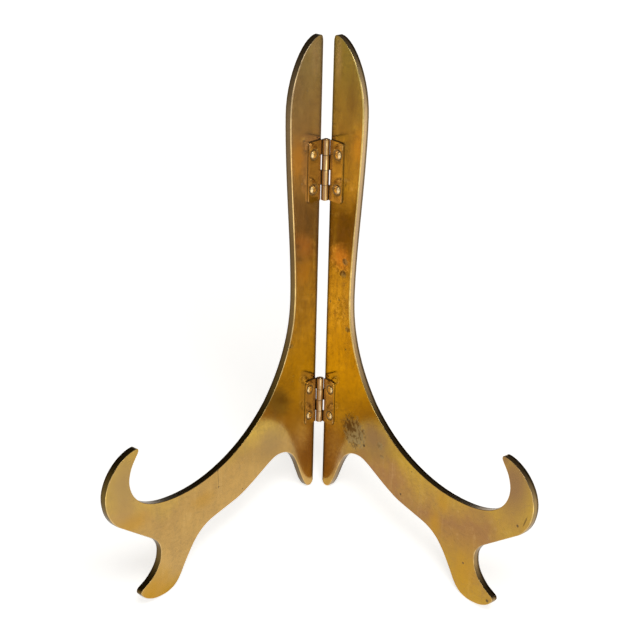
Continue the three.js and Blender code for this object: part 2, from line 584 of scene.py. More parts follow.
        crumbs = graph.cloud(place, 0.62, 5.0, 0.75)
        rotten = mark_mask(graph, place, self.corroded, self.side, crumbs)
        flecks = graph.cloud(graph.scaled(place, (1.0, 1.0, 0.6)), 0.62, 4.0, 0.65)
        if self.rusted:
            rusted = mark_mask(graph, place, self.rusted, self.side, crumbs, 0.2)
            flecks = flecks + rusted * 0.09 - 0.045
        flecks = rotten * flecks.step(0.46, 0.53)
        colour = graph.blend(rotten * 0.8, colour, self.crust)
        colour = graph.blend(flecks * 0.9, colour, self.rust)
        roughness = roughness + rotten * 0.16
        relief = relief - flecks * 1.5 - rotten * 0.5
        grime = mark_mask(graph, place, self.grimy, self.side, crumbs)
        grime = grime.most(graph.specks(place, 0.20, 0.10) * 0.85)
        grime = grime.most(graph.specks(place, 0.55, 0.16) * broad.step(0.42, 0.65, 0.0, 0.6))
        # darker in corners: dirt, and painted shade where the hinge plates stand on the leaf
        grime = grime.most(graph.crevice(0.9).step(0.26, 0.60) * 0.5)
        colour = graph.blend(grime * 0.85, colour, self.grime)
        roughness = roughness + grime * 0.35
        relief = relief - grime * 1.2

        # a dark line round each hinge plate: dirt in the joint and painted contact shadow
        for reach, height, half, corner in self.seams:
            past_side = (out.absolute() - (reach - corner)).most(0.0)
            past_end = ((up - height).absolute() - (half - corner)).most(0.0)
            line = (past_side * past_side + past_end * past_end).root() - corner
            line = line.step(0.15, 0.42, 1.0, 0.0) * fine.step(0.3, 0.6, 0.5, 1.0) * front
            colour = graph.blend(line * 0.75, colour, self.grime)

        cut = mark_mask(graph, place, self.scratches, self.side, fine)
        colour = graph.blend(cut * 0.75, colour, self.grime)
        relief = relief - cut * 2.0

        # painted shade along the inner edge, in the gap between the leaves
        inner = out.absolute().step(0.9, 2.3, 0.75, 0.0)
        # side walls: their own duller colour with painted shade, darker towards the bottom
        wall = graph.blend(up.step(35.0, 62.0), self.low_rim, self.rim)
        colour = graph.blend(edge * 0.85, colour, wall)
        colour = graph.blend(edge_highlight * mottle.step(0.35, 0.60, 0.75, 0.35), colour, self.arris)
        colour = graph.blend(back_corner_shade * 0.85, colour, self.grime)
        colour = graph.blend(inner, colour, self.grime)
        roughness = roughness + edge * 0.12
        slow = graph.cloud(place, 0.035, 1.0)
        normal = graph.bump(slow, 0.5, 0.10)
        normal = graph.bump(relief, 0.4, 0.012, normal)
        film = up.step(60.0, 185.0, *self.film)
        _finish(graph, colour, roughness, normal, 1.0 - film - grime * 0.3)
        return material

    @staticmethod
    def _ring(graph: Graph, out: Wire, up: Wire, middle: float, height: float) -> Wire:
        """The fine ring round a filled rivet hole.

        Args:
            graph: the material's graph, not used.
            out: the distance from the pin axis, in millimetres, either sign.
            up: the height, in millimetres.
            middle: the ring's middle, out from the pin axis.
            height: the ring's middle, up from the tails.

        Returns:
            A mask of the ring.
        """
        across = out.absolute() - middle
        along = up - height
        reach = (across * across + along * along).root() - 1.25
        return reach.absolute().step(0.0, 0.34, 1.0, 0.0)


def _finish(
    graph: Graph,
    colour: Wire,
    roughness: Wire,
    normal: Wire,
    metallic: Any,
    more: dict[Any, Any] | None = None,
) -> None:
    """Adds the surface shader and the output.

    Args:
        graph: the material's graph.
        colour: the base colour.
        roughness: the roughness.
        normal: the normal.
        metallic: how metallic it is, a wire or a number.
        more: further sockets of the shader.
    """
    values = {"Base Color": colour, "Roughness": roughness, "Normal": normal, "Metallic": metallic}
    shader = graph.add("ShaderNodeBsdfPrincipled", {}, values | (more or {}))
    graph.node("ShaderNodeOutputMaterial", {}, {"Surface": shader})


@dataclass(frozen=True)
class HingeBrass:
    """Pressed and rolled brass, redder than the leaves, with soiling and painted shade in its
    corners.
    """

    name: str
    bright: Tint = (0.53, 0.345, 0.12)
    dark: Tint = (0.34, 0.20, 0.07)
    grime: Tint = (0.05, 0.028, 0.012)
    roughness: float = 0.13
    grain: float = 0.6
    reach: float = 0.8
    seats: tuple[tuple[float, float, float], ...] = ()
    barrel: Tint = (0.33, 0.19, 0.095)
    # bright brass for the painted highlights on the barrels and the plates' edges
    rubbed: Tint = (0.80, 0.60, 0.34)

    def build(self, stance: Stance) -> bpy.types.Material:
        """Makes the material.

        Args:
            stance: how the leaves stand.

        Returns:
            The material, with its colour, roughness and relief from nodes.
        """
        material, graph = new_material(self.name)
        place = graph.place(stance.pin_matrix())
        flats = [
            graph.facing(stance.leaf_matrix(side).to_3x3() @ Vector((0, 1, 0))) for side in Side
        ]
        across, along, up = graph.parts(place)
        radius = (across * across + along * along).root()
        flat = flats[0].most(flats[1])
        # darkens the plates' edge walls, and below, rings round the rivet heads
        wall = (1.0 - flat).step(0.35, 0.80) * radius.step(2.2, 2.8)
        # painted highlight along the plates' bevelled edges
        arris = flat.step(0.60, 0.85) * flat.step(0.94, 0.99, 1.0, 0.0) * radius.step(2.6, 3.2)
        for middle, height, reach in self.seats:
            level = up - height
            off = radius - middle
            ring = ((off * off + level * level).root() - reach).absolute()
            wall = wall.most(ring.step(0.10, 0.42, 0.85, 0.0))
        blotch = graph.cloud(place, 0.30, 4.0, 0.6)
        fine = graph.cloud(place, 2.0, 4.0, 0.65)
        drawn = graph.cloud(graph.scaled(place, (1.0, 1.0, 0.10)), 3.0, 3.0)
        aged = blotch.step(0.40, 0.72) * 0.45 + fine.step(0.5, 0.8) * 0.15
        colour = graph.blend(aged, self.bright, self.dark)
        barrel = radius.step(1.7, 2.0, 1.0, 0.0)
        # painted highlight: a bright strip down each barrel, a little right of its front, broken up
        # along the knuckles
        turn = graph.cloud(graph.scaled(place, (0.0, 0.0, 0.13), (0.0, 0.0, 0.7)), 1.0, 0.0)
        strip_breakup = graph.cloud(graph.scaled(place, (0.4, 0.4, 0.22), (0.0, 0.0, 4.3)), 1.0, 2.0)
        highlight_strip = (across / radius + (turn - 0.5) * 0.9 - 0.20).absolute().step(0.08, 0.24, 1.0, 0.0)
        colour = graph.blend(barrel * 0.9, colour, self.barrel)
        highlight_strip = highlight_strip * strip_breakup.step(0.42, 0.58, 0.25, 1.0)
        colour = graph.blend(barrel * highlight_strip * 0.85, colour, self.rubbed)
        colour = graph.blend(arris * blotch.step(0.35, 0.6, 0.3, 0.9), colour, self.rubbed)
        # soiling, and painted shade in corners, between the knuckles and where the plates meet the
        # leaf
        dirt_and_shade = graph.crevice(self.reach) * 1.25 + (fine - 0.5) * 0.25
        dirt_and_shade = dirt_and_shade.step(0.30, 0.85).most(wall * 0.7)
        colour = graph.blend(dirt_and_shade, colour, self.grime)
        roughness = aged * 0.18 + dirt_and_shade * 0.3 + self.roughness
        relief = fine * 0.5 + drawn * self.grain
        normal = graph.bump(relief, 0.4, 0.02)
        _finish(graph, colour, roughness, normal, 1.0 - dirt_and_shade * 0.4)
        return material


@dataclass(frozen=True)
class FloorPaper:
    """The pale seamless sheet that the stand is set on, which glows round the stand and before it.

    pool is how far out its glow changes, front_line where the front's glow begins, and window and
    window_end the bearings between which the brightest stretch rises and falls.
    """

    name: str = "floor_paper"
    white: Tint = (0.90, 0.895, 0.88)
    glow: float = 0.15
    table_glow: float = 0.55
    far_glow: float = 0.78
    front_glow: float = 0.78
    window_glow: float = 0.80
    pool: Pair = (260.0, 650.0)
    front_line: Pair = (-310.0, -160.0)
    window: Pair = (-0.15, 0.12)
    window_end: Pair = (0.45, 1.0)
    shade: Tint = (0.84, 0.83, 0.81)

    def build(self) -> bpy.types.Material:
        """Makes the material.

        Returns:
            A pale matt material with a faint tooth.
        """
        material, graph = new_material(self.name)
        place = graph.place(Matrix.Identity(4))
        tooth = graph.cloud(place, 0.4, 3.0)
        colour = graph.blend(tooth * 0.03, self.white, self.shade)
        across, along, _ = graph.parts(place)
        away = (across * across + along * along).root()
        table = away.step(*self.pool, self.table_glow, self.far_glow)
        bearing = across / (-1.0 * along).most(60.0)
        ahead = bearing.step(*self.window) * bearing.step(*self.window_end, 1.0, 0.0)
        warm = ahead * along.step(*self.front_line, 1.0, 0.0)
        ahead = ahead * self.window_glow + self.front_glow
        glow = graph.mix(along.step(*self.front_line), ahead, table) + self.glow
        blue = glow * (0.98 - warm * 0.38)
        light = graph.add("ShaderNodeCombineXYZ", {}, {0: glow, 1: glow * 0.995, 2: blue})
        values = {"Emission Color": light, "Emission Strength": 1.0}
        _finish(graph, colour, tooth * 0.1 + 0.8, graph.bump(tooth, 0.1, 0.05), 0.0, values)
        return material


# ---------------------------------------------------------------- meshes


def bezier(start: Pair, curve: Sequence[float], steps: int) -> list[Pair]:
    """Points along one line or curve, without its start.

    Args:
        start: where it starts.
        curve: an end point, or two handles and an end point, as a flat run of numbers.
        steps: how many points a curve gets.

    Returns:
        The points, the end point last.
    """
    if len(curve) == 2:
        return [(curve[0], curve[1])]
    points = [start, *zip(curve[0::2], curve[1::2])]
    made = []
    for i in range(1, steps + 1):
        t = i / steps
        weights = ((1 - t) ** 3, 3 * t * (1 - t) ** 2, 3 * t * t * (1 - t), t**3)
        made.append(tuple(sum(w * p[k] for w, p in zip(weights, points)) for k in range(2)))
    return made


def object_from(
    name: str, mesh_of: Callable[[bmesh.types.BMesh], None], at: Matrix
) -> bpy.types.Object:
    """Makes an object from a function that fills a bmesh in millimetres.

    Args:
        name: the object's name.
        mesh_of: fills the bmesh.
        at: the object's placement.

    Returns:
        The linked object.
    """
    bm = bmesh.new()
    mesh_of(bm)
    bmesh.ops.recalc_face_normals(bm, faces=bm.faces)
    bmesh.ops.scale(bm, vec=(MM, MM, MM), verts=bm.verts)
    mesh = bpy.data.meshes.new(name)
    bm.to_mesh(mesh)
    bm.free()
    made = bpy.data.objects.new(name, mesh)
    made.matrix_world = at
    bpy.context.scene.collection.objects.link(made)
    return made


def apply_modifiers(piece: bpy.types.Object) -> None:
    """Turns a piece's modifiers into plain mesh.

    Args:
        piece: the object.
    """
    graph = bpy.context.evaluated_depsgraph_get()
    mesh = bpy.data.meshes.new_from_object(piece.evaluated_get(graph), depsgraph=graph)
    piece.modifiers.clear()
    piece.data = mesh


def modify(piece: bpy.types.Object, kind: str, **settings: Any) -> None:
    """Adds a modifier and applies it.

    Args:
        piece: the object.
        kind: the modifier's type.
        settings: its properties.
    """
    modifier = piece.modifiers.new(kind.lower(), kind)
    for name, value in settings.items():
        setattr(modifier, name, value)
    apply_modifiers(piece)


def settle(piece: bpy.types.Object, sharp_over: float = 40.0) -> None:
    """Smooths a piece's shading, keeps its hard edges, and puts its mesh in the stand's frame.

    Args:
        piece: the object.
        sharp_over: the angle above which an edge stays hard, in degrees.
    """
    piece.data.polygons.foreach_set("use_smooth", [True] * len(piece.data.polygons))
    piece.data.set_sharp_from_angle(angle=math.radians(sharp_over))
    modify(piece, "WEIGHTED_NORMAL", keep_sharp=True, weight=80)
    bpy.context.view_layer.update()
    piece.data.transform(piece.matrix_world)
    piece.matrix_world = Matrix.Identity(4)


def carve(piece: bpy.types.Object, cutters: Iterable[bpy.types.Object]) -> None:
    """Cuts shapes out of a piece and removes the cutters.

    Args:
        piece: the object that is cut.
        cutters: the objects that cut it.
    """
    for cutter in cutters:
        bpy.context.view_layer.update()
        modify(piece, "BOOLEAN", operation="DIFFERENCE", solver="EXACT", object=cutter)
        bpy.data.objects.remove(cutter)


def turned(
    name: str, profile: Sequence[Pair], at: Matrix, middle: Pair = (0.0, 0.0), segments: int = 48
) -> bpy.types.Object:
    """A turned piece about a line along its frame's Y.

    Args:
        name: the object's name.
        profile: pairs of radius and Y, from front to back. A radius of 0 closes an end.
        at: the object's placement.
        middle: the X and Z of its axis.
        segments: how many sides it has.

    Returns:
        The object.
    """

    def fill(bm: bmesh.types.BMesh) -> None:
        """Fills a bmesh with the rings of the profile and the faces between them.

        Args:
            bm: an empty bmesh.
        """
        rings = []
        for radius, y in profile:
            count = segments if radius > 0 else 1
            angles = [2 * math.pi * i / segments for i in range(count)]
            places = [(radius * math.cos(a), radius * math.sin(a)) for a in angles]
            rings.append([bm.verts.new((middle[0] + x, y, middle[1] + z)) for x, z in places])
        for ring, after in zip(rings, rings[1:]):
            for i in range(segments):
                corners = {
                    ring[i % len(ring)]: None,
                    ring[(i + 1) % len(ring)]: None,
                    after[(i + 1) % len(after)]: None,
                    after[i % len(after)]: None,
                }
                bm.faces.new(list(corners))

    return object_from(name, fill, at)


def dome(radius: float, base: float, height: float, steps: int = 9) -> list[Pair]:
    """The profile of a rounded head, from its top to its rim.

    Args:
        radius: the head's radius.
        base: the Y of its rim.
        height: how far it stands above the rim.
        steps: how many rings it has.

    Returns:
        Pairs of radius and Y.
    """
    angles = [math.pi / 2 * i / steps for i in range(steps + 1)]
    return [(radius * math.sin(a), base - height * math.cos(a)) for a in angles]


# ---------------------------------------------------------------- sub-assemblies


@dataclass
class Leaf:
    """One flat brass leaf: stem, tail, arm, foot and hook, cut from sheet with eased edges."""

    side: Side
    finish: LeafBrass
    rivet_holes: tuple[tuple[float, float, float], ...]
    front: float = 1.6
    thickness: float = 3.0
    inner: float = 0.9
    easing: float = 0.45
    trim: float = 0.09
    curve_steps: int = 14
    easing_steps: int = 4
    piece: bpy.types.Object | None = None

    def outline(self) -> list[Pair]:
        """The leaf's outline, from the foot of its straight edge up, over and back down.

        Returns:
            Pairs of X and Z on the right side.
        """
        start = (self.inner, 3.0)
        curves = (
            (self.inner, 192.0),
            (self.inner, 194.4, 1.5, 195.6, 2.8, 195.6),
            (9.2, 195.4, 19.6, 183.0, 19.6, 166.0),
            (19.6, 145.0, 15.0, 110.0, 15.0, 91.0),
            (15.0, 76.0, 18.5, 62.5, 30.0, 47.8),
            (41.5, 34.6, 60.0, 25.1, 80.0, 25.1),
            (89.0, 25.1, 96.0, 26.5, 101.0, 30.2),
            (104.2, 32.6, 106.5, 36.3, 106.5, 40.5),
            (106.5, 44.5, 104.2, 48.0, 102.1, 50.8),
            (101.2, 52.2, 101.5, 53.4, 103.2, 53.4),
            (110.5, 52.9, 119.1, 45.5, 119.1, 36.8),
            (119.1, 31.0, 116.3, 26.0, 112.0, 23.0),
            (95.8, 11.9),
            (93.2, 10.1, 91.0, 7.6, 91.0, 4.0),
            (91.0, -1.0, 93.5, -4.2, 97.5, -7.0),
            (100.6, -8.6),
            (102.2, -9.4, 102.2, -10.6, 101.2, -11.6),
            (99.4, -14.0, 96.0, -15.9, 91.0, -15.9),
            (87.5, -15.9, 85.0, -15.1, 83.3, -14.0),
            (81.9, -13.0, 80.6, -11.2, 79.5, -9.3),
            (76.3, -4.3, 72.3, 3.2, 66.5, 6.1),
            (62.3, 8.4, 56.0, 8.9, 50.0, 10.6),
            (39.5, 12.8, 29.0, 22.0, 23.2, 22.0),
            (18.7, 22.0, 15.8, 20.1, 14.0, 17.7),
            (12.0, 15.0, 10.6, 11.0, 9.0, 7.3),
            (7.8, 4.5, 6.2, 1.4, 4.6, 0.4),
            (2.8, -0.5, self.inner, 0.4, self.inner, 3.0),
        )
        points = [start]
        for curve in curves:
            points += bezier(points[-1], curve, self.curve_steps)
        return points[:-1]

    def build(self, stance: Stance) -> None:
        """Makes the leaf's mesh, with its rivet holes.

        Args:
            stance: how the leaves stand.
        """
        at = stance.leaf_matrix(self.side)
        self.piece = object_from(f"{self.side.word}_leaf_sheet", self._fill, at)
        back = self.front + self.thickness
        cutters = []
        for out, up, radius in self.rivet_holes:
            profile = [
                (0, self.front - 1),
                (radius, self.front - 1),
                (radius, back - 0.9),
                (radius + 0.675, back + 0.45),
                (0, back + 0.45),
            ]
            cutters.append(turned("cutter", profile, at, (self.side.value * out, up)))
        carve(self.piece, cutters)
        settle(self.piece, 50.0)
        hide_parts(f"{self.side.word}_leaf")
        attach(self.piece, self.side.body)

    def dress(self, stance: Stance) -> None:
        """Gives the leaf its finish.

        Args:
            stance: how the leaves stand.
        """
        self.piece.data.materials.clear()
        self.piece.data.materials.append(self.finish.build(stance.leaf_matrix(self.side)))

    def _fill(self, bm: bmesh.types.BMesh) -> None:
        """Fills a bmesh with the sheet, its edges eased by hand and so a little unevenly.

        Args:
            bm: an empty bmesh.
        """
        points = self.outline()
        count = len(points)
        inward = []
        for i, point in enumerate(points):
            before, after = Vector(points[i - 1]), Vector(points[(i + 1) % count])
            here = Vector(point)
            first, second = (here - before).normalized(), (after - here).normalized()
            along = (first + second).normalized()
            stretch = 1 / max(0.5, along.dot(first))
            inward.append(Vector((along.y, -along.x)) * stretch)
        back = self.front + self.thickness
        rings = []
        for k in range(2 * self.easing_steps + 2):
            rear = k > self.easing_steps
            step = (2 * self.easing_steps + 1 - k) if rear else k
            angle = math.pi / 2 * step / self.easing_steps
            ring = []
            for i, point in enumerate(points):
                facing_up = min(1.0, max(0.0, -1.6 * inward[i].y - 0.2))
                flank = min(1.0, max(0.0, -1.5 * inward[i].x - 0.4)) if point[1] > 24 else 0.0
                ease = self.easing * (1 - 0.55 * facing_up) * (1 + 0.3 * flank)
                ease *= 1 + 0.14 * math.sin(0.31 * i) + 0.08 * math.sin(0.83 * i + 1)
                ease *= 0.85 if rear else 1.0
                place = Vector(point) + inward[i] * (self.trim + ease * (1 - math.sin(angle)))
                depth = ease * (1 - math.cos(angle))
                y = back - depth if rear else self.front + depth
                ring.append(bm.verts.new((self.side.value * place.x, y, place.y)))
            rings.append(ring)
        for ring, after in zip(rings, rings[1:]):
            for i in range(count):
                j = (i + 1) % count
                bm.faces.new((ring[i], ring[j], after[j], after[i]))
        bm.faces.new(rings[0])
        bm.faces.new(rings[-1])


@dataclass(frozen=True)
class RivetSize:
    """One hinge's rivets and the dished holes that their heads sit in."""

    out: float
    up: float
    head: float
    height: float
    shank: float
    dish: float
    depth: float


@dataclass
class Hinge:
    """One butt hinge: two rolled plates, a pin and four rivets."""

    name: str
    centre: float
    length: float
    reach: float
    barrel: float
    sheet: float
    corner: float
    rivet: RivetSize
    notches: tuple[float, float, float, float]
    swell: tuple[float, float, float, float]
    face: float = 1.58
    leaf_back: float = 4.58
    knuckles: int = 4
    knuckle_gap: float = 0.20
    clearance: float = 0.03
    parts: list[tuple[bpy.types.Object, str]] = field(default_factory=list)

    @property
    def rivet_ends(self) -> tuple[tuple[str, float], ...]:
        """The name and height of the upper and the lower rivet on each side."""
        return (("top", self.centre + self.rivet.up), ("bottom", self.centre - self.rivet.up))

    @property
    def footprint(self) -> tuple[float, float, float, float]:
        """How far out the plates lie, their middle height, half length and corner radius."""
        return (self.reach, self.centre, self.length / 2, self.corner)

    def leaf_holes(self) -> tuple[tuple[float, float, float], ...]:
        """The place and radius of the hinge's holes in a leaf.

        Returns:
            Triples of distance out, height and radius.
        """
        radius = self.rivet.shank + self.clearance
        return tuple((self.rivet.out, up, radius) for _, up in self.rivet_ends)

    def dirty_seats(self) -> tuple[tuple[float, float, float], ...]:
        """Where dirt gathers round the rivet heads.

        Returns:
            Triples of distance from the pin axis, height and the dirt ring's radius.
        """
        middle = math.hypot(self.rivet.out, self.face)
        radius = (self.rivet.head + self.rivet.dish) / 2
        return tuple((middle, up, radius) for _, up in self.rivet_ends)

    def build(self, stance: Stance) -> None:
        """Makes the plates, the rivets and the pin.

        Args:
            stance: how the leaves stand.
        """
        for side in Side:
            at = stance.leaf_matrix(side)
            self._build_plate(side, at)
            for end, up in self.rivet_ends:
                self._build_rivet(side, end, up, at)
        self._build_pin(stance.leaf_matrix(Side.LEFT))

    def dress(self, plates: bpy.types.Material, rivets: bpy.types.Material) -> None:
        """Gives each piece its finish.

        Args:
            plates: the finish of the plates and the pin.
            rivets: the finish of the rivets.
        """
        for piece, slot in self.parts:
            piece.data.materials.clear()
            piece.data.materials.append(rivets if slot == "rivet_brass" else plates)

    def _keep(self, piece: bpy.types.Object, node: str, slot: str, side: Side) -> None:
        """Hides the CAD node that a piece stands for, hangs the piece on its half and keeps it with
        its slot.

        Args:
            piece: the new object.
            node: the CAD node it stands for.
            slot: its material slot in the record.
            side: the half it moves with.
        """
        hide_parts(node)
        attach(piece, side.body)
        self.parts.append((piece, slot))

    def _path(self) -> tuple[list[Pair], int]:
        """The middle line of the bent sheet, seen along the pin.

        Returns:
            Pairs of X and Y from the outer edge to the end of the roll, and the index of the point
            at which a plate without a knuckle stops.
        """
        flat = self.face - self.sheet / 2
        roll = self.barrel - self.sheet / 2
        rounds = [self.corner * (1 - math.cos(math.pi / 12 * i)) for i in range(7)]
        across = [self.reach - r for r in rounds]
        stop = self.barrel + 0.45
        across += [across[-1] + (stop - across[-1]) * i / 6 for i in range(1, 7)]
        path = [(x, flat) for x in across]
        cut = len(path) - 1
        for share in (0.3, 0.6, 0.85):
            ease = share * share * (3 - 2 * share)
            path.append((stop * (1 - share), flat + (roll - flat) * ease))
        for degrees in range(90, 379, 12):
            a = math.radians(degrees)
            path.append((roll * math.cos(a), roll * math.sin(a)))
        return path, cut

    def _build_plate(self, side: Side, at: Matrix) -> None:
        """Makes one rolled plate.

        Args:
            side: the half it is on.
            at: the leaf frame's placement.
        """
        path, cut = self._path()
        pitch = self.length / self.knuckles
        own = {i for i in range(self.knuckles) if i % 2 == (0 if side is Side.LEFT else 1)}
        half = self.length / 2
        levels: list[float] = []
        for i in range(self.knuckles):
            top = half - i * pitch - (self.knuckle_gap / 2 if i else 0)
            bottom = half - (i + 1) * pitch + (self.knuckle_gap / 2 if i < self.knuckles - 1 else 0)
            levels += [top, (top + bottom) / 2, bottom]

        def fill(bm: bmesh.types.BMesh) -> None:
            """Fills a bmesh with the bent sheet's middle surface.

            Args:
                bm: an empty bmesh.
            """
            grid = []
            for index, (x, y) in enumerate(path):
                angle = math.pi / 12 * min(index, 6)
                extent = half - self.corner * (1 - math.sin(angle))
                column = []
                for row, level in enumerate(levels):
                    knuckle = row // 3
                    reach = self.notches[knuckle] if index == cut and knuckle not in own else x
                    size = self.swell[knuckle] if index > cut else 1.0
                    height = self.centre + level / half * extent
                    column.append(bm.verts.new((side.value * reach * size, y * size, height)))
                grid.append(column)
            for index, (here, after) in enumerate(zip(grid, grid[1:])):
                for row in range(len(levels) - 1):
                    in_knuckle = row % 3 != 2 and row // 3 in own
                    if index < cut or in_knuckle:
                        bm.faces.new((here[row], after[row], after[row + 1], here[row + 1]))
            loose = [v for v in bm.verts if not v.link_faces]
            bmesh.ops.delete(bm, geom=loose, context="VERTS")

        piece = object_from(f"{self.name}_{side.word}_rolled_plate", fill, at)
        modify(piece, "SOLIDIFY", thickness=self.sheet * MM, offset=0.0, use_even_offset=True)
        front = self.face - self.sheet
        profile = [
            (0, front - 1),
            (2 * self.rivet.dish - self.rivet.head, front - 1),
            (self.rivet.dish, front),
            (self.rivet.head + 0.15, front + self.rivet.depth),
            (self.rivet.shank + self.clearance, front + self.rivet.depth),
            (self.rivet.shank + self.clearance, self.face + 1),
            (0, self.face + 1),
        ]
        places = [(side.value * self.rivet.out, up) for _, up in self.rivet_ends]
        carve(piece, [turned("cutter", profile, at, place) for place in places])
        modify(
            piece,
            "BEVEL",
            width=0.18 * MM,
            segments=2,
            limit_method="ANGLE",
            angle_limit=math.radians(38),
            use_clamp_overlap=True,
        )
        settle(piece, 45.0)
        self._keep(piece, f"{self.name}_{side.word}_plate", "hinge_brass", side)

    def _build_rivet(self, side: Side, end: str, up: float, at: Matrix) -> None:
        """Makes one round-head rivet, as set by hand.

        Args:
            side: the half it is on.
            end: "top" or "bottom".
            up: its height.
            at: the leaf frame's placement.
        """
        size = self.rivet
        seat = self.face - self.sheet + size.depth - 0.02
        rim = 0.15
        profile = [
            *dome(size.head - 0.08, seat - rim, size.height - rim),
            (size.head, seat - rim + 0.05),
            (size.head, seat),
            (size.shank, seat),
            (size.shank, self.leaf_back - 0.88),
            (size.shank + 0.45, self.leaf_back - 0.04),
            (size.shank + 0.30, self.leaf_back),
            (0, self.leaf_back),
        ]
        piece = turned(
            f"{self.name}_{side.word}_{end}_round_head", profile, at, (side.value * size.out, up)
        )
        settle(piece)
        self._keep(piece, f"{self.name}_{side.word}_{end}_rivet", "rivet_brass", side)

    def _build_pin(self, at: Matrix) -> None:
        """Makes the pin, peened over at both ends.

        Args:
            at: the left leaf frame's placement.
        """
        radius = self.barrel - self.sheet - self.clearance
        head = radius + 0.3
        half = self.length / 2 + 0.05
        end = [(radius, half), (head - 0.05, half), (head, half + 0.06)]
        end += [(r, -y) for r, y in reversed(dome(head - 0.04, -half - 0.1, 0.3, 6))]
        profile = [(r, -y) for r, y in reversed(end)] + end
        raised = at @ Matrix.Translation((0, 0, self.centre * MM))
        upright = raised @ Matrix.Rotation(math.pi / 2, 4, "X")
        piece = turned(f"{self.name}_peened_pin", profile, upright, segments=40)
        settle(piece)
        self._keep(piece, f"{self.name}_pin", "hinge_brass", Side.LEFT)


# ---------------------------------------------------------------- studio


@dataclass(frozen=True)
class Lamp:
    """One soft panel light and where it stands.

    spread is how widely its light fans out, in degrees.
    """

    name: str
    place: Tint
    aim: Tint
    size: Pair
    power: float
    spread: float
    colour: Tint = (1.0, 1.0, 1.0)

    def hang(self) -> None:
        """Puts the light in the scene."""
        data = bpy.data.lights.new(self.name, "AREA")
        data.shape = "RECTANGLE"
        data.size, data.size_y = self.size
        data.energy = self.power
        data.spread = math.radians(self.spread)
        data.color = self.colour
        lamp = bpy.data.objects.new(self.name, data)
        lamp.location = self.place
        lamp.rotation_mode = "QUATERNION"
        toward = Vector(self.aim) - Vector(self.place)
        lamp.rotation_quaternion = toward.to_track_quat("-Z", "Y")
        bpy.context.scene.collection.objects.link(lamp)


@dataclass
class Studio:
    """The pale floor, the soft lights, the room's glow and the camera."""

    lamps: tuple[Lamp, ...]
    floor_half: float = 4.0
    lens: float = 92.3
    eye: Tint = (-0.00792, -0.51698, 0.47257)
    aim: Tint = (54.057, -1.326, 0.205)
    near: Tint = (0.80, 0.78, 0.74)
    far: Tint = (0.05, 0.045, 0.04)

    def build(self) -> None:
        """Sets up everything round the stand."""
        self._floor()
        for lamp in self.lamps:
            lamp.hang()
        self._room()
        self._camera()

    def _floor(self) -> None:
        """Lays the floor under the stand."""

        def fill(bm: bmesh.types.BMesh) -> None:
            """Fills a bmesh with the floor's grid."""
            size = self.floor_half / MM
            bmesh.ops.create_grid(bm, x_segments=8, y_segments=8, size=size)

        floor = object_from("floor", fill, Matrix.Identity(4))
        floor.data.materials.append(FloorPaper().build())

    def _room(self) -> None:
        """Fills the room with a glow from the front, dim behind and above the stand."""
        world = bpy.data.worlds.new("room")
        bpy.context.scene.world = world
        world.use_nodes = True
        graph = Graph(world.node_tree)
        towards = graph.add("ShaderNodeTexCoord", output="Generated")
        _, depth, height = graph.parts(towards)
        behind = depth.step(-0.3, 0.4).most(height.step(0.35, 0.75))
        colour = graph.blend(behind, self.near, self.far)
        shader = graph.add("ShaderNodeBackground", {}, {"Color": colour, "Strength": 1.0})
        graph.node("ShaderNodeOutputWorld", {}, {"Surface": shader})

    def _camera(self) -> None:
        """Sets the camera."""
        data = bpy.data.cameras.new("camera")
        data.lens = self.lens
        data.sensor_width = 36.0
        camera = bpy.data.objects.new("camera", data)
        camera.location = self.eye
        camera.rotation_euler = [math.radians(a) for a in self.aim]
        bpy.context.scene.collection.objects.link(camera)
        bpy.context.scene.camera = camera
        bpy.context.scene.view_settings.view_transform = "Standard"


# ---------------------------------------------------------------- the stand

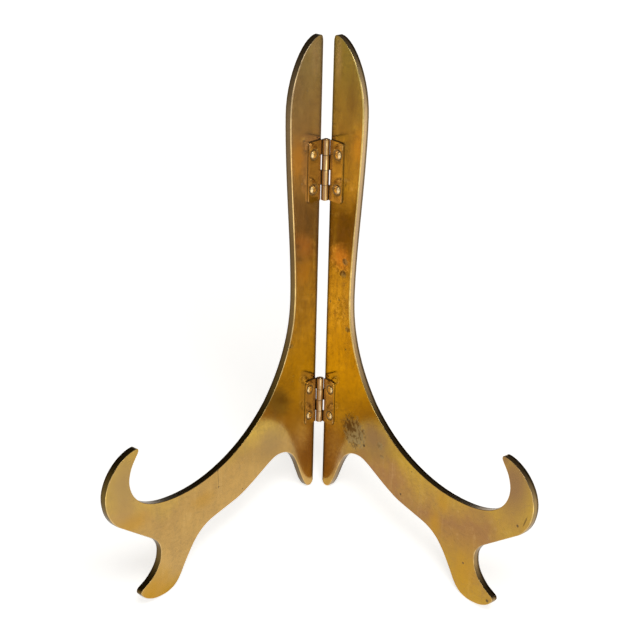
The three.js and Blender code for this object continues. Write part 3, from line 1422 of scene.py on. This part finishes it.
UPPER_HINGE = Hinge(
    "upper_hinge",
    centre=141.1,
    length=25.0,
    reach=8.9,
    barrel=1.58,
    sheet=0.8,
    corner=1.5,
    rivet=RivetSize(out=5.9, up=7.2, head=1.85, height=0.9, shank=1.1, dish=2.6, depth=0.4),
    notches=(1.5, 2.03, 2.03, 1.85),
    swell=(0.98, 1.0, 0.96, 0.99),
)
LOWER_HINGE = Hinge(
    "lower_hinge",
    centre=40.25,
    length=19.8,
    reach=7.6,
    barrel=1.48,
    sheet=0.7,
    corner=1.8,
    rivet=RivetSize(out=5.1, up=5.95, head=1.6, height=0.8, shank=0.95, dish=2.2, depth=0.35),
    notches=(1.35, 1.35, 1.85, 1.35),
    swell=(1.0, 0.97, 1.0, 0.96),
)
LEFT_BRASS = LeafBrass(
    "left_leaf_brass",
    Side.LEFT,
    (
        (-15.0, (0.41, 0.22, 0.01)),
        (0.0, (0.51, 0.315, 0.095)),
        (25.0, (0.455, 0.27, 0.075)),
        (37.0, (0.56, 0.36, 0.06)),
        (58.0, (0.49, 0.31, 0.05)),
        (75.0, (0.57, 0.38, 0.13)),
        (103.0, (0.38, 0.215, 0.08)),
        (113.0, (0.38, 0.22, 0.085)),
        (125.0, (0.60, 0.37, 0.15)),
        (150.0, (0.52, 0.325, 0.17)),
        (190.0, (0.44, 0.345, 0.235)),
    ),
    # the left leaf's side walls nearly black: painted shade
    rim=(0.10, 0.06, 0.018),
    low_rim=(0.06, 0.037, 0.008),
    soot_from=3.2,
    film=(0.03, 0.16),
    flushed=(
        Mark(94.6, -11.0, 10.0, 7.0, 0.6),
        Mark(106.0, 22.5, 12.0, 6.0, 0.5, 0.5),
        Mark(67.8, 18.0, 9.0, 5.0, 0.4, 0.6),
        Mark(101.5, 44.0, 4.0, 9.0, 0.4, 0.5, -30.0),
        Mark(15.0, 148.0, 5.5, 12.0, 0.9, 0.7),
        Mark(9.9, 103.0, 6.0, 12.0, 0.45, 0.7),
        Mark(4.8, 76.4, 0.8, 0.8, 0.8, 0.5),
    ),
    dulled=(
        Mark(109.0, 40.0, 15.0, 21.0, 0.75, 0.3),
        Mark(28.0, 30.0, 11.0, 11.0, 0.55, 0.4),
        Mark(11.0, 106.0, 9.0, 9.0, 0.4, 0.7),
    ),
    # wear, and a painted glint just above the upper hinge (the last mark)
    worn=(
        Mark(21.0, 36.0, 3.5, 4.0, 0.35, 0.6),
        Mark(3.8, 112.0, 1.1, 24.0, 0.5, 0.3),
        Mark(9.0, 26.0, 7.0, 11.0, 0.5, 0.5),
        Mark(11.8, 155.5, 4.0, 1.1, 0.7, 1.6),
    ),
    corroded=(Mark(17.0, 69.0, 1.9, 1.0, 0.8, 1.0),),
    grimy=(
        Mark(11.5, 154.8, 0.5, 0.5, 0.9),
        Mark(10.7, 150.6, 0.4, 0.4, 0.8),
        Mark(12.1, 137.4, 0.4, 0.4, 0.8),
        Mark(59.6, 28.2, 0.9, 0.5, 0.8, 0.6),
        Mark(59.0, 20.6, 0.5, 0.4, 0.8, 0.6),
    ),
    scratches=(Mark(59.2, 24.4, 0.16, 4.4, 0.9, 0.0, -4.0),),
    plugs=((9.9, 52.3), (9.4, 41.1)),
    seams=(UPPER_HINGE.footprint, LOWER_HINGE.footprint),
)
RIGHT_BRASS = LeafBrass(
    "right_leaf_brass",
    Side.RIGHT,
    (
        (-10.0, (0.43, 0.245, 0.03)),
        (18.0, (0.33, 0.165, 0.055)),
        (42.0, (0.66, 0.425, 0.02)),
        (75.0, (0.60, 0.385, 0.035)),
        (97.0, (0.64, 0.42, 0.05)),
        (115.0, (0.24, 0.145, 0.01)),
        (124.0, (0.19, 0.11, 0.005)),
        (136.0, (0.50, 0.34, 0.06)),
        (150.0, (0.54, 0.38, 0.095)),
        (190.0, (0.64, 0.52, 0.13)),
    ),
    tarnish=(0.275, 0.155, 0.062),
    rim=(0.51, 0.35, 0.20),
    low_rim=(0.26, 0.18, 0.09),
    soot_from=3.0,
    film=(0.0, 0.05),
    flushed=(
        Mark(72.8, 20.8, 5.0, 7.0, 0.5, 0.4),
        Mark(69.0, 10.2, 5.0, 9.0, 0.6, 0.3),
        Mark(109.8, 44.9, 4.0, 7.0, 0.5, 0.4, 20.0),
        Mark(86.0, -5.0, 9.0, 13.0, 0.5, 0.4),
        # painted golden highlight on the right stem's gold band
        Mark(8.0, 106.0, 7.5, 7.0, 0.8, 0.8),
    ),
    dulled=(
        Mark(32.0, 34.0, 14.0, 13.0, 0.9, 0.5),
        Mark(108.0, 43.0, 18.0, 24.0, 1.0, 0.3),
        Mark(103.5, 52.0, 6.0, 7.0, 0.9, 0.3),
        Mark(94.0, 24.0, 12.0, 9.0, 0.35, 0.6),
        Mark(12.5, 172.0, 5.0, 12.0, 0.4, 0.5),
    ),
    # wear, and painted glints: the streak at the top of the inner edge and the two by the upper
    # hinge
    worn=(
        Mark(4.2, 186.0, 3.2, 13.0, 1.0, 0.4),
        Mark(8.0, 20.0, 8.0, 12.0, 0.45, 0.5),
        Mark(10.3, 139.0, 3.0, 1.4, 0.6, 1.4),
        Mark(14.1, 136.3, 1.6, 1.2, 0.5, 1.4),
    ),
    corroded=(
        Mark(20.0, 32.2, 7.6, 8.2, 1.0, 2.2, 30.0),
        Mark(36.0, 31.7, 2.2, 1.8, 0.5, 1.8),
        Mark(37.3, 27.2, 1.4, 1.0, 0.45, 1.6),
        Mark(14.2, 76.1, 2.0, 1.5, 0.8, 1.8),
        Mark(11.4, 104.8, 1.9, 1.6, 0.9, 1.2),
        Mark(10.4, 99.4, 2.2, 1.7, 0.95, 1.2),
    ),
    rusted=(
        Mark(16.5, 34.5, 5.0, 7.5, 1.0, 0.6, 20.0),
        Mark(21.0, 26.0, 4.0, 2.5, 0.8, 0.6),
        Mark(11.0, 102.0, 4.0, 5.0, 1.0),
        Mark(14.2, 76.1, 2.5, 2.0, 1.0),
    ),
    grimy=(
        Mark(26.4, 28.2, 0.8, 0.8, 0.9),
        Mark(48.9, 14.9, 0.6, 0.6, 0.9),
        Mark(111.8, 27.4, 0.7, 0.7, 0.9),
        Mark(85.4, -0.7, 0.6, 0.6, 0.8),
        Mark(99.3, -11.5, 0.9, 0.8, 0.9),
        Mark(8.5, 87.5, 0.5, 0.5, 0.8),
        Mark(3.4, 85.3, 0.4, 0.6, 0.8),
        Mark(13.4, 67.1, 0.5, 0.5, 0.8),
    ),
    scratches=(Mark(115.3, 30.6, 0.4, 3.2, 0.8, 0.3, -20.0),),
    curdled=(Mark(8.0, 104.5, 8.0, 10.0, 1.0, 0.8, 20.0), Mark(9.0, 84.0, 8.0, 12.0, 0.4, 0.8)),
    plugs=((8.6, 51.6), (8.4, 39.8)),
    seams=(UPPER_HINGE.footprint, LOWER_HINGE.footprint),
)
PLATE_BRASS = HingeBrass(
    "hinge_brass_finish", seats=UPPER_HINGE.dirty_seats() + LOWER_HINGE.dirty_seats()
)
RIVET_BRASS = HingeBrass(
    "rivet_brass_finish", bright=(0.70, 0.47, 0.18), dark=(0.45, 0.27, 0.09), grain=0.2, reach=0.7
)
LAMPS = (
    Lamp("overhead_softbox", (0.12, -0.40, 1.0), (0.0, 0.0, 0.05), (0.5, 0.4), 2.4, 150.0),
    Lamp("front_softbox", (0.5, -1.6, 0.9), (0.0, 0.0, 0.1), (0.9, 0.6), 2.2, 140.0),
)


def main() -> None:
    """Builds the stand and the studio, in order, and reports each piece."""
    logging.basicConfig(level=logging.INFO, format="%(message)s")
    stance = Stance.from_record(frame["record"])
    plates = PLATE_BRASS.build(stance)
    rivets = RIVET_BRASS.build(stance)
    for hinge in (UPPER_HINGE, LOWER_HINGE):
        hinge.build(stance)
        hinge.dress(plates, rivets)
        for piece, slot in hinge.parts:
            log.info("built %s (%s)", piece.name, slot)
    holes = UPPER_HINGE.leaf_holes() + LOWER_HINGE.leaf_holes()
    for side, finish in ((Side.LEFT, LEFT_BRASS), (Side.RIGHT, RIGHT_BRASS)):
        leaf = Leaf(side, finish, holes)
        leaf.build(stance)
        leaf.dress(stance)
        log.info("built %s", leaf.piece.name)
    Studio(LAMPS).build()


if __name__ == "__main__":
    main()
